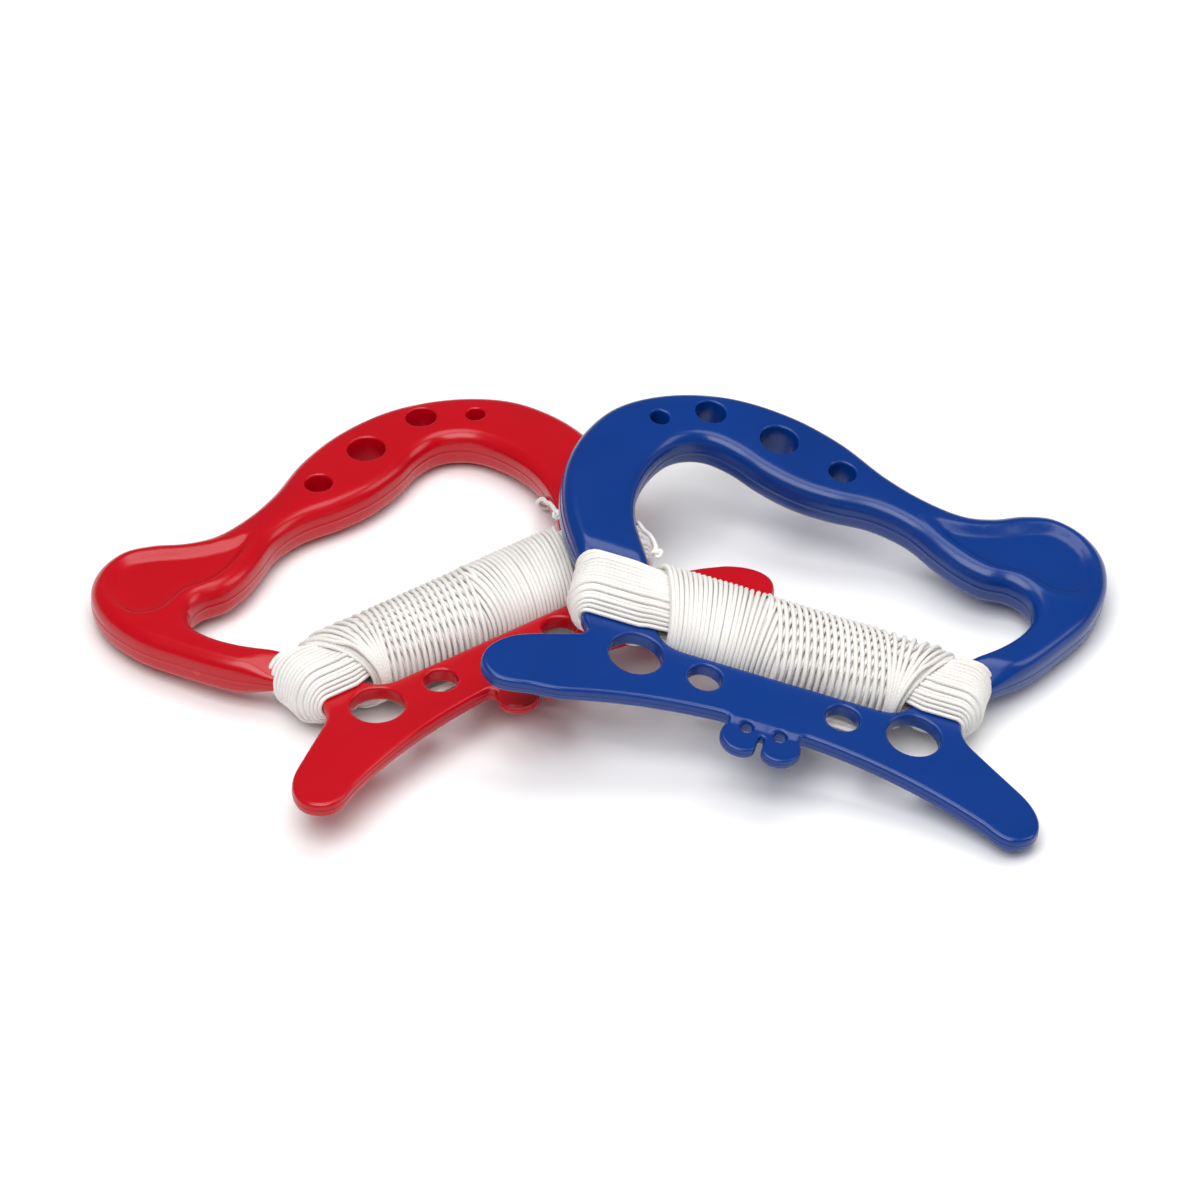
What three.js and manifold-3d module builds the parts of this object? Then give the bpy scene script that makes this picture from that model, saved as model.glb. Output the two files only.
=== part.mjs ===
// A pair of two-line kite control handles with their flying lines wound on them, one red and one blue.
//
// Each handle is one flat moulding: a wavy hand loop on two legs, above a horned winder plate. The flying
// line is hitched to one leg, wound lengthways round both legs, then bound crossways into a round bundle.
// Both handles come from one mould that is alike on its two faces. The red one is turned over, so it is
// the mirror image of the blue one in plan. Red lies flat and blue leans on it.
//
// A handle's own frame: X along the wound line, Y towards the hand loop, Z out of the upper face, and the
// origin at the middle of the wound line. Millimetres, +Z up.

import * as THREE from 'three';
import { mergeVertices } from 'three/addons/utils/BufferGeometryUtils.js';
import Module from 'manifold-3d';

const wasm = await Module();
wasm.setup();

// ---------------------------------------------------------------- driving dimensions

const GAP = 0.3; // between pieces that touch
const SLIVER = 0.02; // detail finer than this is merged after the joins and cuts

const LOOP_THICKNESS = 11.4; // hand loop and legs
const LOOP_ROUND = 3; // rounding along their edges
const DISH_DEPTH = 1.6; // thumb dish, in both faces of the lobe
const PLATE_THICKNESS = 4.2; // winder plate and the waist of each leg
const CLIP_THICKNESS = 2.8; // its two ears
const CLIP_NECK_THICKNESS = 3.4;

const WINDING = { left: -58.6, right: 54, halfHeight: 11.2, halfWidth: 13.2, shift: -3, cap: 11 };
const LINE_DIAMETER = 1.2;
const KNOT_RADIUS = 1.6;

// The hand loop's outer edge, from the end of the wide leg round the grip and lobe to the narrow leg's end.
const LOOP_OUTER = [
  [-58.5, 5], [-62, 12], [-66.6, 23], [-68.8, 36], [-67.4, 49], [-61.5, 62.5], [-50, 72.6], [-34, 78.6],
  [-17, 78.4], [-2, 73.8], [12, 66], [23, 61.9], [33.5, 60.4], [41, 62.6], [48, 66.8], [56, 69.2],
  [65, 66.6], [71.6, 60], [74.6, 49.5], [73, 36], [68, 24.6], [61, 12], [54.8, 2],
];

// Its inner edge, from the narrow leg's end back round the finger grooves to the wide leg's end.
const LOOP_INNER = [
  [40, 2], [45.4, 9.4], [52.4, 17.4], [56.8, 25], [58.2, 31.6], [55.6, 37.6], [50, 40], [43.5, 39.2],
  [36.5, 41], [29.5, 44.6], [21, 49.8], [11, 52], [0, 51], [-10, 51.4], [-20, 54.2], [-28.5, 58],
  [-36, 59], [-42.6, 55.2], [-47.2, 46], [-48.8, 34], [-46.8, 23], [-42.3, 13.6], [-38.4, 4],
];

// Through holes as [x, y, radius].
const GRIP_HOLES = [[-49.4, 61.8, 2.5], [-37.2, 69.4, 4], [-18, 66.4, 5], [0.2, 61.4, 3.6]];
const PLATE_HOLES = [[-36.8, -22.6, 7], [-18.2, -23.8, 4.4], [18.2, -23.8, 4.4], [36.8, -22.6, 7]];
const CLIP_HOLES = [[-4.4, -36.4, 1.6], [4.4, -36.4, 1.6]];

// The thumb dish follows the lobe's edge and narrows into the neck of the grip.
const DISH = [
  [24, 55], [33, 55.4], [42, 58.4], [50, 63], [57, 65.4], [64, 63], [69, 57], [70.6, 49], [68.6, 43],
  [62, 40.6], [52, 43.6], [44, 43], [36, 45.6], [29, 49.6],
];

// Winder plate: the arch of its lower edge, its top edge, and the line clip.
const ARCH_RADIUS = 148;
const ARCH_TOP = -33.8;
const ARCH_LEFT = 48; // how far the arch runs each side before the horn
const ARCH_RIGHT = 60;
const PLATE_TOP = -16.8;
const EAR = { x: 4.9, y: -39.6, radius: 5.6 };
const SLIT_WIDTH = 1.7;

// The line's free stretches, in the blue handle's frame: the lead runs from its knot on the winding up the
// inside of the wide leg, behind the leg and back under the winding. The end loop hangs from its own knot
// between the winding and the back of the plate.
const LEAD_KNOT = [-39.4, 7.9, 9.3];
const LEAD_ROUTE = [
  [-40.2, 10.3, 9.2], [-42.2, 15.6, 7], [-44.2, 20.4, 3.6], [-46.4, 26, 0.4], [-47.6, 30.4, -4.2],
  [-50, 31.2, -7.1], [-53.4, 27.4, -7.4], [-55.6, 20.6, -7.4], [-55.8, 13, -7.6], [-53.6, 6.8, -7.8],
];
const END_KNOT = [2, -13.9, -9.3];
const END_ROUTE = [
  [4.2, -14.3, -9.5], [9, -13.9, -9.4], [15, -13.5, -9.3], [20.6, -14.3, -8.9], [23, -16.2, -8.1],
  [21, -17.7, -7.1], [15, -18.1, -6.5], [9.4, -17.1, -7.1], [4.6, -16.2, -7.9],
];

// Where each handle lies: the origin's place and the turn of the handle on the floor. The red handle's tilt
// follows from what it rests on, and the blue one leans to the right off the red one.
const RED_PLACE = { x: -38.87, y: -2.5, z: 11.03, turn: 34.2 };
const BLUE_PLACE = { x: 48.84, y: -23.39, z: 19.93, turn: -11.8, lift: 11, nod: 3.3 };

const RED_PLASTIC = { color: 0xc40a18, roughness: 0.28, metalness: 0 };
const BLUE_PLASTIC = { color: 0x06348a, roughness: 0.28, metalness: 0 };
const WHITE_LINE = { color: 0xf0eee8, roughness: 0.85, metalness: 0 };

// ---------------------------------------------------------------- solids

// A three.js geometry as a solid that can be joined and cut.
function solidOf(geometry) {
  const bare = geometry.clone();
  bare.deleteAttribute('normal');
  bare.deleteAttribute('uv');
  const merged = mergeVertices(bare, 1e-4);
  return new wasm.Manifold(new wasm.Mesh({
    numProp: 3,
    vertProperties: new Float32Array(merged.attributes.position.array),
    triVerts: new Uint32Array(merged.index.array),
  }));
}

function geometryOf(solid) {
  const mesh = solid.simplify(SLIVER).getMesh();
  const geometry = new THREE.BufferGeometry();
  geometry.setAttribute('position', new THREE.BufferAttribute(new Float32Array(mesh.vertProperties), 3));
  geometry.setIndex(new THREE.BufferAttribute(new Uint32Array(mesh.triVerts), 1));
  geometry.computeVertexNormals();
  return geometry;
}

// The same geometry with left and right exchanged.
function mirrored(geometry) {
  const copy = geometry.index ? geometry.clone() : mergeVertices(geometry);
  copy.scale(-1, 1, 1);
  const index = copy.index.array;
  for (let i = 0; i < index.length; i += 3) [index[i], index[i + 1]] = [index[i + 1], index[i]];
  copy.computeVertexNormals();
  return copy;
}

// The outline moved inwards by inset, or outwards where inset is negative, each corner along its bisector.
function moved(outline, inset) {
  const count = outline.length;
  return outline.map((point, i) => {
    const before = point.clone().sub(outline[(i + count - 1) % count]).normalize();
    const after = outline[(i + 1) % count].clone().sub(point).normalize();
    const inward = new THREE.Vector2(-before.y - after.y, before.x + after.x).normalize();
    const lean = Math.max(0.6, inward.dot(new THREE.Vector2(-after.y, after.x)));
    return point.clone().addScaledVector(inward, inset / lean);
  });
}

// A flat slab of an outline, centred on the mid-plane, with its edges rounded. grow makes it larger all over.
function slab(points, thickness, round, grow = 0, segments = 2) {
  const outline = THREE.ShapeUtils.isClockWise(points) ? [...points].reverse() : points;
  const flat = thickness / 2 - round;
  const levels = [];
  for (let i = 0; i <= segments; i++) {
    const a = (i / segments) * (Math.PI / 2);
    levels.push([round * (1 - Math.cos(a)) - grow, flat + (round + grow) * Math.sin(a)]);
  }
  const rings = [...levels.map(([inset, z]) => [inset, -z]).reverse(), ...levels];
  if (flat < 1e-6) rings.splice(segments, 1);
  const count = outline.length;
  const vertices = rings.flatMap(([inset, z]) => moved(outline, inset).flatMap((p) => [p.x, p.y, z]));
  const triangles = [];
  for (let ring = 0; ring + 1 < rings.length; ring++) {
    for (let i = 0; i < count; i++) {
      const a = ring * count + i;
      const b = ring * count + ((i + 1) % count);
      triangles.push(a, b, b + count, a, b + count, a + count);
    }
  }
  const top = (rings.length - 1) * count;
  for (const [a, b, c] of THREE.ShapeUtils.triangulateShape(outline, [])) {
    triangles.push(c, b, a, top + a, top + b, top + c);
  }
  const geometry = new THREE.BufferGeometry();
  geometry.setAttribute('position', new THREE.Float32BufferAttribute(vertices, 3));
  geometry.setIndex(triangles);
  return solidOf(geometry);
}

// A round pin or hole through the moulding.
function pin(x, y, radius, height = 40, sides = 18) {
  const geometry = new THREE.CylinderGeometry(radius, radius, height, sides);
  geometry.rotateX(Math.PI / 2);
  geometry.translate(x, y, 0);
  return solidOf(geometry);
}

function smooth(points, count) {
  return new THREE.SplineCurve(points.map(([x, y]) => new THREE.Vector2(x, y))).getSpacedPoints(count);
}

// ---------------------------------------------------------------- moulding

function loopOutline() {
  return [...smooth(LOOP_OUTER, 44), ...smooth(LOOP_INNER, 44)];
}

// The winder plate and the two waists, with the wide opening above the plate left out.
function winderOutline() {
  const archCentre = ARCH_TOP - ARCH_RADIUS;
  const archY = (x) => archCentre + Math.sqrt(ARCH_RADIUS ** 2 - x ** 2);
  const shape = new THREE.Shape();
  shape.moveTo(-57, 9);
  shape.bezierCurveTo(-54.5, 2, -52.5, 0, -52.5, -6);
  shape.bezierCurveTo(-52.5, -12, -49.4, -19, -52, -20.4);
  shape.lineTo(-67.2, -28.2);
  shape.bezierCurveTo(-75.2, -33.2, -77.2, -42.2, -69.2, -45.4);
  shape.quadraticCurveTo(-60.4, -46, -ARCH_LEFT, archY(ARCH_LEFT));
  const [archStart, archEnd] = [Math.PI - Math.acos(ARCH_LEFT / ARCH_RADIUS), Math.acos(ARCH_RIGHT / ARCH_RADIUS)];
  shape.absarc(0, archCentre, ARCH_RADIUS, archStart, archEnd, true);
  shape.quadraticCurveTo(65.6, -50.2, 68.6, -49.4);
  shape.bezierCurveTo(76.6, -46.2, 74.8, -37.2, 67, -31.6);
  shape.lineTo(52, -20.8);
  shape.bezierCurveTo(47.6, -17.6, 47, -12, 47, -6);
  shape.bezierCurveTo(47, -2, 50.2, 1, 55, 8);
  shape.lineTo(44.5, 8.6);
  shape.bezierCurveTo(38, 2, 35, -1, 35, -8);
  shape.bezierCurveTo(35, -13, 32, PLATE_TOP, 26, PLATE_TOP);
  shape.lineTo(-25, PLATE_TOP);
  shape.bezierCurveTo(-31, PLATE_TOP, -34, -13, -34, -8);
  shape.bezierCurveTo(-34, -2, -36, 2, -39.6, 8);
  return shape.getPoints(6);
}

// The two-eared line clip under the middle of the plate.
function clip() {
  const neck = [[-8, -31], [-8, -38.2], [8, -38.2], [8, -31]].map(([x, y]) => new THREE.Vector2(x, y));
  let solid = slab(neck, CLIP_NECK_THICKNESS, 0.5, 0, 1);
  for (const side of [-1, 1]) {
    const ear = new THREE.EllipseCurve(side * EAR.x, EAR.y, EAR.radius, EAR.radius).getPoints(18).slice(0, -1);
    solid = solid.add(slab(ear, CLIP_THICKNESS, 0.7, 0, 1));
  }
  const slit = new THREE.BoxGeometry(SLIT_WIDTH, 9, 20);
  slit.translate(0, EAR.y - 3.4, 0);
  return solid.subtract(solidOf(slit)).subtract(pin(0, EAR.y + 1.1, SLIT_WIDTH / 2, 20, 8));
}

// The shallow dish in the lobe, as the solid taken out of one face. Its own edge is rounded.
function dish(face) {
  const outline = smooth([...DISH, DISH[0]], 26).slice(0, -1);
  const height = 8;
  const lift = LOOP_THICKNESS / 2 - DISH_DEPTH + height / 2;
  return slab(outline, height, 1.4, 0, 1).translate([0, 0, face * lift]);
}

function moulding(grow = 0) {
  let solid = slab(loopOutline(), LOOP_THICKNESS, LOOP_ROUND, grow);
  solid = solid.add(slab(winderOutline(), PLATE_THICKNESS, 0.8, grow, 1));
  if (grow > 0) return solid;
  solid = solid.add(clip());
  for (const face of [1, -1]) solid = solid.subtract(dish(face));
  for (const [x, y, radius] of [...GRIP_HOLES, ...PLATE_HOLES, ...CLIP_HOLES]) {
    solid = solid.subtract(pin(x, y, radius));
  }
  return solid;
}

// ---------------------------------------------------------------- line

// The whole winding as one rounded bundle, with room for the two waists that pass through it. It fills the
// notch between the hand loop and the horns, so it lies a little towards the plate.
function winding() {
  const { left, right, halfHeight, halfWidth, shift, cap } = WINDING;
  const steps = 5;
  const profile = [];
  for (let i = 0; i <= steps; i++) {
    const a = (i / steps) * (Math.PI / 2);
    profile.push(new THREE.Vector2(halfHeight * Math.sin(a), left + cap * (1 - Math.cos(a))));
  }
  for (let i = steps; i >= 0; i--) {
    const a = (i / steps) * (Math.PI / 2);
    profile.push(new THREE.Vector2(halfHeight * Math.sin(a), right - cap * (1 - Math.cos(a))));
  }
  const geometry = new THREE.LatheGeometry(profile, 24);
  geometry.rotateZ(-Math.PI / 2);
  geometry.scale(1, halfWidth / halfHeight, 1);
  geometry.translate(0, shift, 0);
  return solidOf(geometry).subtract(moulding(GAP));
}

function lineAlong(route) {
  const section = new THREE.Shape();
  section.absarc(0, 0, LINE_DIAMETER / 2, 0, 2 * Math.PI);
  const path = new THREE.CatmullRomCurve3(route.map((p) => new THREE.Vector3(...p)));
  return new THREE.ExtrudeGeometry(section, { steps: 16, curveSegments: 2, extrudePath: path, bevelEnabled: false });
}

function knot([x, y, z]) {
  const geometry = new THREE.IcosahedronGeometry(KNOT_RADIUS, 1);
  geometry.translate(x, y, z);
  return geometry;
}

// ---------------------------------------------------------------- the pair

const MOULDING = geometryOf(moulding());
const PIECES = {
  handle: MOULDING,
  line_winding: geometryOf(winding()),
  anchor_lead: geometryOf(solidOf(lineAlong(LEAD_ROUTE))),
  anchor_knot: geometryOf(solidOf(knot(LEAD_KNOT))),
  end_loop: geometryOf(solidOf(lineAlong(END_ROUTE))),
  end_knot: geometryOf(solidOf(knot(END_KNOT))),
};

function handleWithLine(name, plastic, turnedOver) {
  const group = new THREE.Group();
  for (const [piece, geometry] of Object.entries(PIECES)) {
    const look = new THREE.MeshStandardMaterial(piece === 'handle' ? plastic : WHITE_LINE);
    const mesh = new THREE.Mesh(turnedOver ? mirrored(geometry) : geometry, look);
    mesh.name = `${name}_${piece}`;
    group.add(mesh);
  }
  return group;
}

// The red handle rests on its winding and on the outer edge of its grip.
const gripEdge = Math.max(...LOOP_OUTER.map(([, y]) => y)) - LOOP_ROUND - WINDING.shift;
const reach = Math.hypot(gripEdge, LOOP_THICKNESS / 2);
const redTilt = Math.atan2(LOOP_THICKNESS / 2, gripEdge) - Math.asin(WINDING.halfHeight / reach);

const rad = THREE.MathUtils.degToRad;
const red = handleWithLine('red', RED_PLASTIC, true);
red.rotation.set(redTilt, 0, rad(RED_PLACE.turn), 'ZXY');
red.position.set(RED_PLACE.x, RED_PLACE.y, RED_PLACE.z);

const blue = handleWithLine('blue', BLUE_PLASTIC, false);
blue.rotation.set(rad(BLUE_PLACE.nod), rad(BLUE_PLACE.lift), rad(BLUE_PLACE.turn), 'YXZ');
blue.position.set(BLUE_PLACE.x, BLUE_PLACE.y, BLUE_PLACE.z);

const pair = new THREE.Group();
pair.add(red, blue);

export default pair;
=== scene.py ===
"""The looks of a pair of kite control handles, one red and one blue, with their flying lines wound on them.

Each handle is one plastic moulding, built here as a fine surface with rounded edges, a thumb dish and a
parting line. Each flying line is one continuous braided cord: hitched to the wide leg, wound lengthways
round both legs, bound crossways between them, and ended in a knotted loop behind the winder plate.

A handle's own frame is in millimetres: X along the wound line, Y towards the hand loop, Z out of the upper
face, with the origin at the middle of the wound line. The red handle is the blue one's mirror image.
"""

import math
import random

import bpy
import numpy as np
from mathutils import Matrix, Vector, kdtree
from mathutils.geometry import delaunay_2d_cdt


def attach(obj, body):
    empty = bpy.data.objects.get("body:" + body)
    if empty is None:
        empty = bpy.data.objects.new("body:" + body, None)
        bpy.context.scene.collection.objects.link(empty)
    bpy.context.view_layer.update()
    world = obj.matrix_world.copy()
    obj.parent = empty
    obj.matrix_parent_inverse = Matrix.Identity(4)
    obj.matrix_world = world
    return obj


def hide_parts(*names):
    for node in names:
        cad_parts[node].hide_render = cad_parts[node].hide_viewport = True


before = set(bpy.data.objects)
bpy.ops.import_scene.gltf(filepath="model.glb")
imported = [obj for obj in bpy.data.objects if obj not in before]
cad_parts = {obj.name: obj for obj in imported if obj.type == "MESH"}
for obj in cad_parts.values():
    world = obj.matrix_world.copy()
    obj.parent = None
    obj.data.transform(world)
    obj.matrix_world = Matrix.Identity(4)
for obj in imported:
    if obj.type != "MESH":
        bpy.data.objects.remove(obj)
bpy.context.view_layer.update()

MM = 0.001

# ---------------------------------------------------------------- where each handle lies

GRIP_REACH = 78.6  # from the middle of the wound line to the resting edge of the grip
WINDING_HALF = 11.2  # half thickness of the wound line
LOOP_HALF = 5.7  # half thickness of the hand loop
RED_PLACE = {"at": (-38.87, -2.5, 11.03), "turn": 34.2}
BLUE_PLACE = {"at": (48.84, -23.39, 19.93), "turn": -11.8, "lift": 11.0, "nod": 3.3}


def red_matrix():
    reach = math.hypot(GRIP_REACH, LOOP_HALF)
    tilt = math.atan2(LOOP_HALF, GRIP_REACH) - math.asin(WINDING_HALF / reach)
    turn = Matrix.Rotation(math.radians(RED_PLACE["turn"]), 4, "Z")
    place = Matrix.Translation(Vector(RED_PLACE["at"]))
    mirror = Matrix.Diagonal((-1, 1, 1, 1))
    return Matrix.Scale(MM, 4) @ place @ turn @ Matrix.Rotation(tilt, 4, "X") @ mirror


def blue_matrix():
    lift = Matrix.Rotation(math.radians(BLUE_PLACE["lift"]), 4, "Y")
    nod = Matrix.Rotation(math.radians(BLUE_PLACE["nod"]), 4, "X")
    turn = Matrix.Rotation(math.radians(BLUE_PLACE["turn"]), 4, "Z")
    place = Matrix.Translation(Vector(BLUE_PLACE["at"]))
    return Matrix.Scale(MM, 4) @ place @ lift @ nod @ turn


# ---------------------------------------------------------------- camera

CAMERA_ELEVATION = 41.0
CAMERA_DISTANCE = 2.6
CAMERA_LENS = 302.0
CAMERA_TARGET = Vector((0.0, 0.002, 0.012))


def make_camera():
    camera = bpy.data.objects.new("camera", bpy.data.cameras.new("camera"))
    bpy.context.collection.objects.link(camera)
    camera.data.lens = CAMERA_LENS
    rise = math.radians(CAMERA_ELEVATION)
    back = Vector((0, -math.cos(rise), math.sin(rise)))
    camera.location = CAMERA_TARGET + CAMERA_DISTANCE * back
    camera.rotation_euler = (math.pi / 2 - rise, 0, 0)
    bpy.context.scene.camera = camera


make_camera()

# ---------------------------------------------------------------- helpers


def smoothstep(low, high, x):
    t = np.clip((np.asarray(x, float) - low) / (high - low), 0, 1)
    return t * t * (3 - 2 * t)


def mesh_object(name, vertices, faces, matrix):
    """A new smooth-shaded mesh in the row frame, from vertices in a handle's own frame."""
    mesh = bpy.data.meshes.new(name)
    mirrored = matrix.determinant() < 0
    placed = [matrix @ Vector(v) for v in vertices]
    mesh.from_pydata(placed, [], [f[::-1] for f in faces] if mirrored else faces)
    mesh.polygons.foreach_set("use_smooth", [True] * len(mesh.polygons))
    obj = bpy.data.objects.new(name, mesh)
    bpy.context.collection.objects.link(obj)
    return obj


def spline(points, step):
    """Points about one step apart on the centripetal Catmull-Rom curve through the given points."""
    p = np.array(points, float)
    first = 2 * p[0] - p[1]
    last = 2 * p[-1] - p[-2]
    p = np.vstack([first, p, last])
    out = []
    for i in range(1, len(p) - 2):
        p0, p1, p2, p3 = p[i - 1], p[i], p[i + 1], p[i + 2]
        t0 = 0.0
        t1 = t0 + np.linalg.norm(p1 - p0) ** 0.5
        t2 = t1 + np.linalg.norm(p2 - p1) ** 0.5
        t3 = t2 + np.linalg.norm(p3 - p2) ** 0.5
        count = max(2, int(round(np.linalg.norm(p2 - p1) / step)))
        for t in np.linspace(t1, t2, count, endpoint=False):
            a1 = (t1 - t) / (t1 - t0) * p0 + (t - t0) / (t1 - t0) * p1
            a2 = (t2 - t) / (t2 - t1) * p1 + (t - t1) / (t2 - t1) * p2
            a3 = (t3 - t) / (t3 - t2) * p2 + (t - t2) / (t3 - t2) * p3
            b1 = (t2 - t) / (t2 - t0) * a1 + (t - t0) / (t2 - t0) * a2
            b2 = (t3 - t) / (t3 - t1) * a2 + (t - t1) / (t3 - t1) * a3
            out.append((t2 - t) / (t2 - t1) * b1 + (t - t1) / (t2 - t1) * b2)
    out.append(p[-2])
    return np.array(out)


def bezier(*controls, count=24):
    """Points on the Bezier curve of three or four control points."""
    c = np.array(controls, float)
    t = np.linspace(0, 1, count)[:, None]
    if len(c) == 3:
        return (1 - t) ** 2 * c[0] + 2 * t * (1 - t) * c[1] + t ** 2 * c[2]
    return (1 - t) ** 3 * c[0] + 3 * t * (1 - t) ** 2 * c[1] + 3 * t ** 2 * (1 - t) * c[2] + t ** 3 * c[3]


def resampled(points, step):
    """The closed outline again, with points an even step apart."""
    p = np.vstack([points, points[:1]])
    along = np.concatenate([[0], np.cumsum(np.linalg.norm(np.diff(p, axis=0), axis=1))])
    count = int(round(along[-1] / step))
    at = np.linspace(0, along[-1], count, endpoint=False)
    return np.stack([np.interp(at, along, p[:, 0]), np.interp(at, along, p[:, 1])], axis=1)


def softened(outline, rounds):
    """The closed outline with its sharp corners eased."""
    for _ in range(rounds):
        outline = 0.5 * outline + 0.25 * (np.roll(outline, 1, axis=0) + np.roll(outline, -1, axis=0))
    return outline


# ---------------------------------------------------------------- flying line

LINE_DIAMETER = 1.2
LINE_SIDES = 8

WAIST_HALF = 2.1  # half thickness of the leg's waist under the line
WAIST_TO_LOOP = (1, 11)  # Y over which a leg thickens to the hand loop
CORE_CENTRE = -2.8  # the lengthwise turns fill the notch between the hand loop and the horns
CORE_HALF = (11.5, 9.3)  # half width and half height of the lengthwise turns where they pass the legs
CORE_PITCH = 1.27  # between turns of one row
CORE_ROW_STEP = 1.1  # between rows
CORE_FIRST_ROW = 2.8
CORE_ROWS = 7
CORE_COLUMNS = range(-10, 11)
CORE_LAYERS = 7  # nested layers that the turns are wound in, from the innermost out
CORE_CLEARANCE = 0.65  # between the leg's face and the centre of the nearest turn
CORE_JITTER = (0.1, 0.06)  # unevenness across and up
LEFT_END = -50.95  # X about which the turns go round each leg
RIGHT_END = 45.45
END_FLATTEN = 0.8  # how far the turns flatten against a leg
END_SPREAD = (0.06, 0.04)  # how the ends spread towards the hand loop, on the left and right
END_SPREAD_BELOW = 0.02
SPREAD_FROM = -1  # Y past which the ends spread, towards the hand loop and towards the horns
SPREAD_BELOW_FROM = -8
BOUND_FROM = -36  # X between which the crossways wraps bind the lengthwise turns
BOUND_TO = 37
CLEAR_OF_LEGS = (-33.4, 34.4)  # X between which the wraps may pull turns in past the first row
END_POINTS = 7
MIDDLE_POINTS = 11
HALF_TURN_POINTS = 12
SQUEEZE_SHIFT = 0.7  # how far squeezed turns move towards the hand loop
TWO_WRAPS = 0.91  # how much two layers of wraps squeeze the lengthwise turns, and three layers
THREE_WRAPS = 0.81
SQUEEZE_ON = (-42, -36)  # X over which the wraps begin to bind, go from two layers to three, and end
SQUEEZE_MORE = (-12, -2)
SQUEEZE_OFF = (36, 41)
SQUEEZE_LEAN = ((-34, -12, 10, 36), (-3.6, 0, 2, 5.4))  # how the wraps lean across the bundle, by X

# Layers of wraps, each listed where the middle of a turn is at x: its pitch, and how far it leans along X on
# its two sides. The first covers the whole span between the legs, from right to left. The second goes back
# over it, close at first and then open. The third crosses the open turns the other way.
WRAPS = [
    {"x": (37.5, -34.2), "over_core": 1.1, "lean": ((-34.2, -3.8), (-12, 0), (10, 2), (37.5, 5.8)),
     "pitch": ((-34.2, 1.26), (37.5, 1.26))},
    {"x": (-33.2, 36.2), "over_core": 2.1, "lean": ((-33.2, -3.6), (-14, -0.5), (4, 3.6), (36.2, 5.4)),
     "pitch": ((-33.2, 1.26), (-14, 1.28), (-4, 1.8), (36.2, 1.8))},
    {"x": (35.0, -6.0), "over_core": 3.0, "lean": ((-6.0, -3.4), (24, -4.0), (30, 0.4), (35.0, 5.0)),
     "pitch": ((-6.0, 1.8), (35.0, 1.8))},
]
WRAP_POINTS = 26  # points in a turn
WRAP_DRIFT = 0.13  # unevenness along X
WRAP_LIFT = 0.06  # unevenness outwards
FIRST_WRAP_ANGLE = math.radians(60)
BETWEEN_LAYERS = math.radians(40)
ROUTE_STEP = 1.1

BRAID_LENGTH = 1.15
BRAID_STRANDS = 4  # round the line, in each direction
BRAID_RELIEF = 0.6
GROOVE_SHADE = -0.35

LEAD_KNOT = (-39.4, 7.9, 9.3)
LEAD_ROUTE = [
    (-40.2, 10.3, 9.2), (-42.2, 15.6, 7), (-44.2, 20.4, 3.6), (-46.4, 26, 0.4), (-47.6, 30.4, -4.2),
    (-50, 31.2, -7.1), (-53.4, 27.4, -7.4), (-55.6, 20.6, -7.4), (-55.8, 13, -7.6), (-53.6, 6.8, -7.8),
]
END_KNOT = (2, -13.9, -9.3)
END_ROUTE = [
    (4.2, -14.3, -9.5), (9, -13.9, -9.4), (15, -13.5, -9.3), (20.6, -14.3, -8.9), (23, -16.2, -8.1),
    (21, -17.7, -7.1), (15, -18.1, -6.5), (9.4, -17.1, -7.1), (4.6, -16.2, -7.9),
]
END_OF_LOOP = (2.8, -14.9, -8.7)  # where the loop comes back to its knot
KNOT_SIZE = 0.45
KNOT_POINTS = 72
KNOT_TUBE = 0.42  # radius of the knot's tube, in line diameters
HITCH_HEADING = (0.5, -0.8, 0.2)
LOOP_KNOT_HEADING = (1.0, 0.0, 0.1)


def leg_half(y):
    """Half thickness of a leg, which thins to the waist under the line."""
    return WAIST_HALF + (LOOP_HALF - WAIST_HALF) * smoothstep(*WAIST_TO_LOOP, y)


def core_places():
    """(y, z) of each lengthwise turn where it passes a leg, from the innermost out."""
    places = []
    for row in range(CORE_ROWS):
        z = CORE_FIRST_ROW + row * CORE_ROW_STEP
        for column in CORE_COLUMNS:
            y = CORE_CENTRE + (column + 0.5 * (row % 2)) * CORE_PITCH
            inside = ((y - CORE_CENTRE) / CORE_HALF[0]) ** 2 + (z / CORE_HALF[1]) ** 2 <= 1
            if inside and z >= leg_half(y) + CORE_CLEARANCE:
                places.append((y, z))

    def order(place):
        across = (place[0] - CORE_CENTRE) / CORE_HALF[0]
        layer = int(math.hypot(across, place[1] / CORE_HALF[1]) * CORE_LAYERS)
        angle = math.atan2(place[1], place[0] - CORE_CENTRE)
        return layer, angle if layer % 2 else -angle

    return sorted(places, key=order)


def squeeze(x, y):
    """How far the wraps pull in a lengthwise turn at x, for one that passes the legs at y."""
    across = (y - CORE_CENTRE) / CORE_HALF[0]
    x = x - across * np.interp(x, *SQUEEZE_LEAN)
    at_left = 1 - (1 - TWO_WRAPS) * smoothstep(*SQUEEZE_ON, x)
    to_three = (TWO_WRAPS - THREE_WRAPS) * smoothstep(*SQUEEZE_MORE, x)
    at_right = (1 - THREE_WRAPS) * smoothstep(*SQUEEZE_OFF, x)
    return at_left - to_three + at_right


def left_end(y):
    """X about which the turns go round the wide leg's waist."""
    above = max(0, y - SPREAD_FROM) ** 2
    below = max(0, SPREAD_BELOW_FROM - y) ** 2
    return LEFT_END - END_SPREAD[0] * above - END_SPREAD_BELOW * below


def right_end(y):
    """X about which the turns go round the narrow leg's waist."""
    above = max(0, y - SPREAD_FROM) ** 2
    below = max(0, SPREAD_BELOW_FROM - y) ** 2
    return RIGHT_END + END_SPREAD[1] * above + END_SPREAD_BELOW * below


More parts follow.
